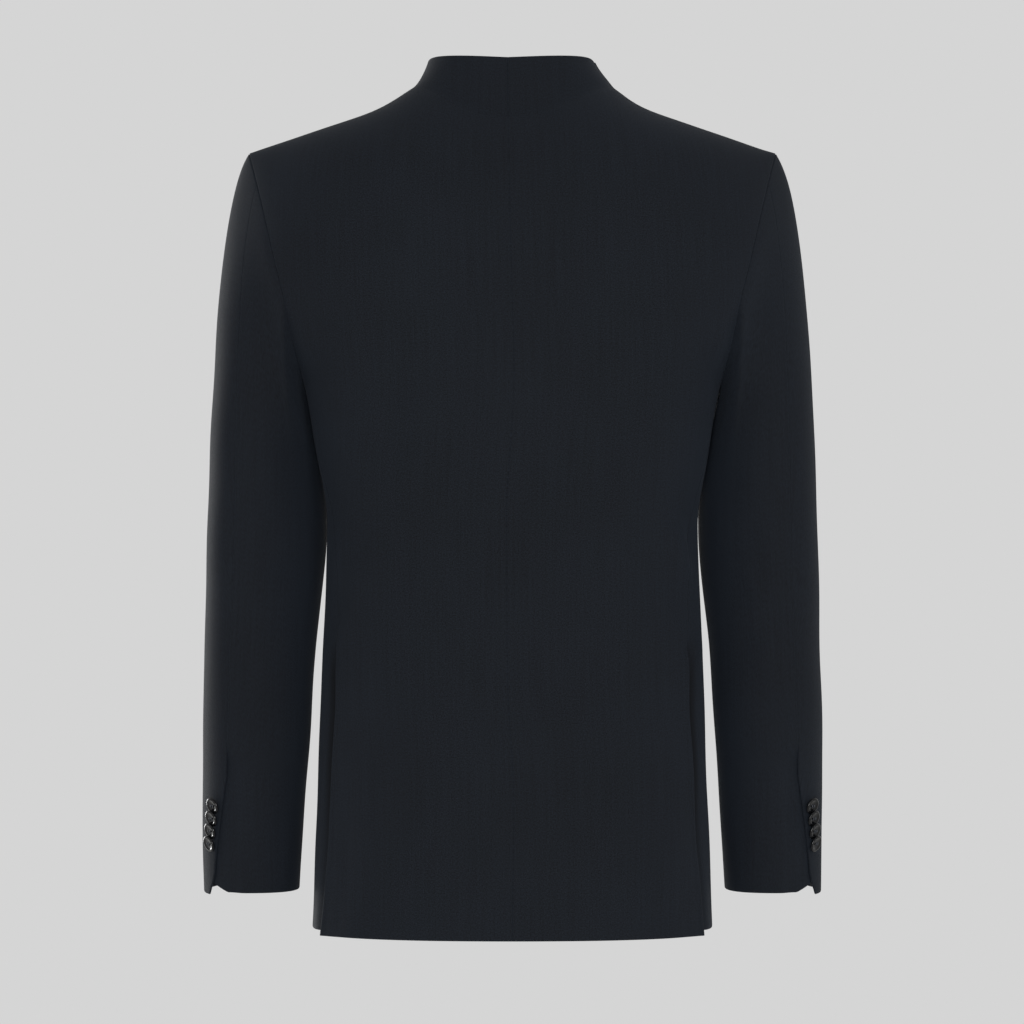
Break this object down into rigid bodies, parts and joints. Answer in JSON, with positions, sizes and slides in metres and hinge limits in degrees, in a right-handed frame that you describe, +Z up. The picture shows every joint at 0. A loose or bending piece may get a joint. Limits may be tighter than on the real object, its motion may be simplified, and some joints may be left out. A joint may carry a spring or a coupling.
{
  "type": "stand collar blazer",
  "caption": "Dark tailored jacket with a stand collar, side vents, buttoned cuffs and a buttoned front, hollow and filled out as if worn.",
  "frame": {"origin": "midway between the points where the two shoulder seams meet the collar, where the wearer's shoulders hold it", "axes": "+Z up, +Y out of the garment's back (the wearer faces -Y), +X to the wearer's left"},
  "size_m": [0.538, 0.2426, 0.7553],
  "materials": {
    "dark_wool": "matt, fine plain weave",
    "black_button": "glossy"
  },
  "bodies": {
    "root": {"back_left": "dark_wool", "back_right": "dark_wool", "front_left": "dark_wool", "front_right": "dark_wool", "collar_left": "dark_wool", "collar_right": "dark_wool", "top_sleeve_left": "dark_wool", "top_sleeve_right": "dark_wool", "under_sleeve_left": "dark_wool", "under_sleeve_right": "dark_wool", "cuff_button_left_1": "black_button", "cuff_button_left_2": "black_button", "cuff_button_left_3": "black_button", "cuff_button_left_4": "black_button", "cuff_button_right_1": "black_button", "cuff_button_right_2": "black_button", "cuff_button_right_3": "black_button", "cuff_button_right_4": "black_button", "front_button_1": "black_button", "front_button_2": "black_button", "front_button_3": "black_button", "front_button_4": "black_button", "front_button_5": "black_button"}
  },
  "joints": []
}
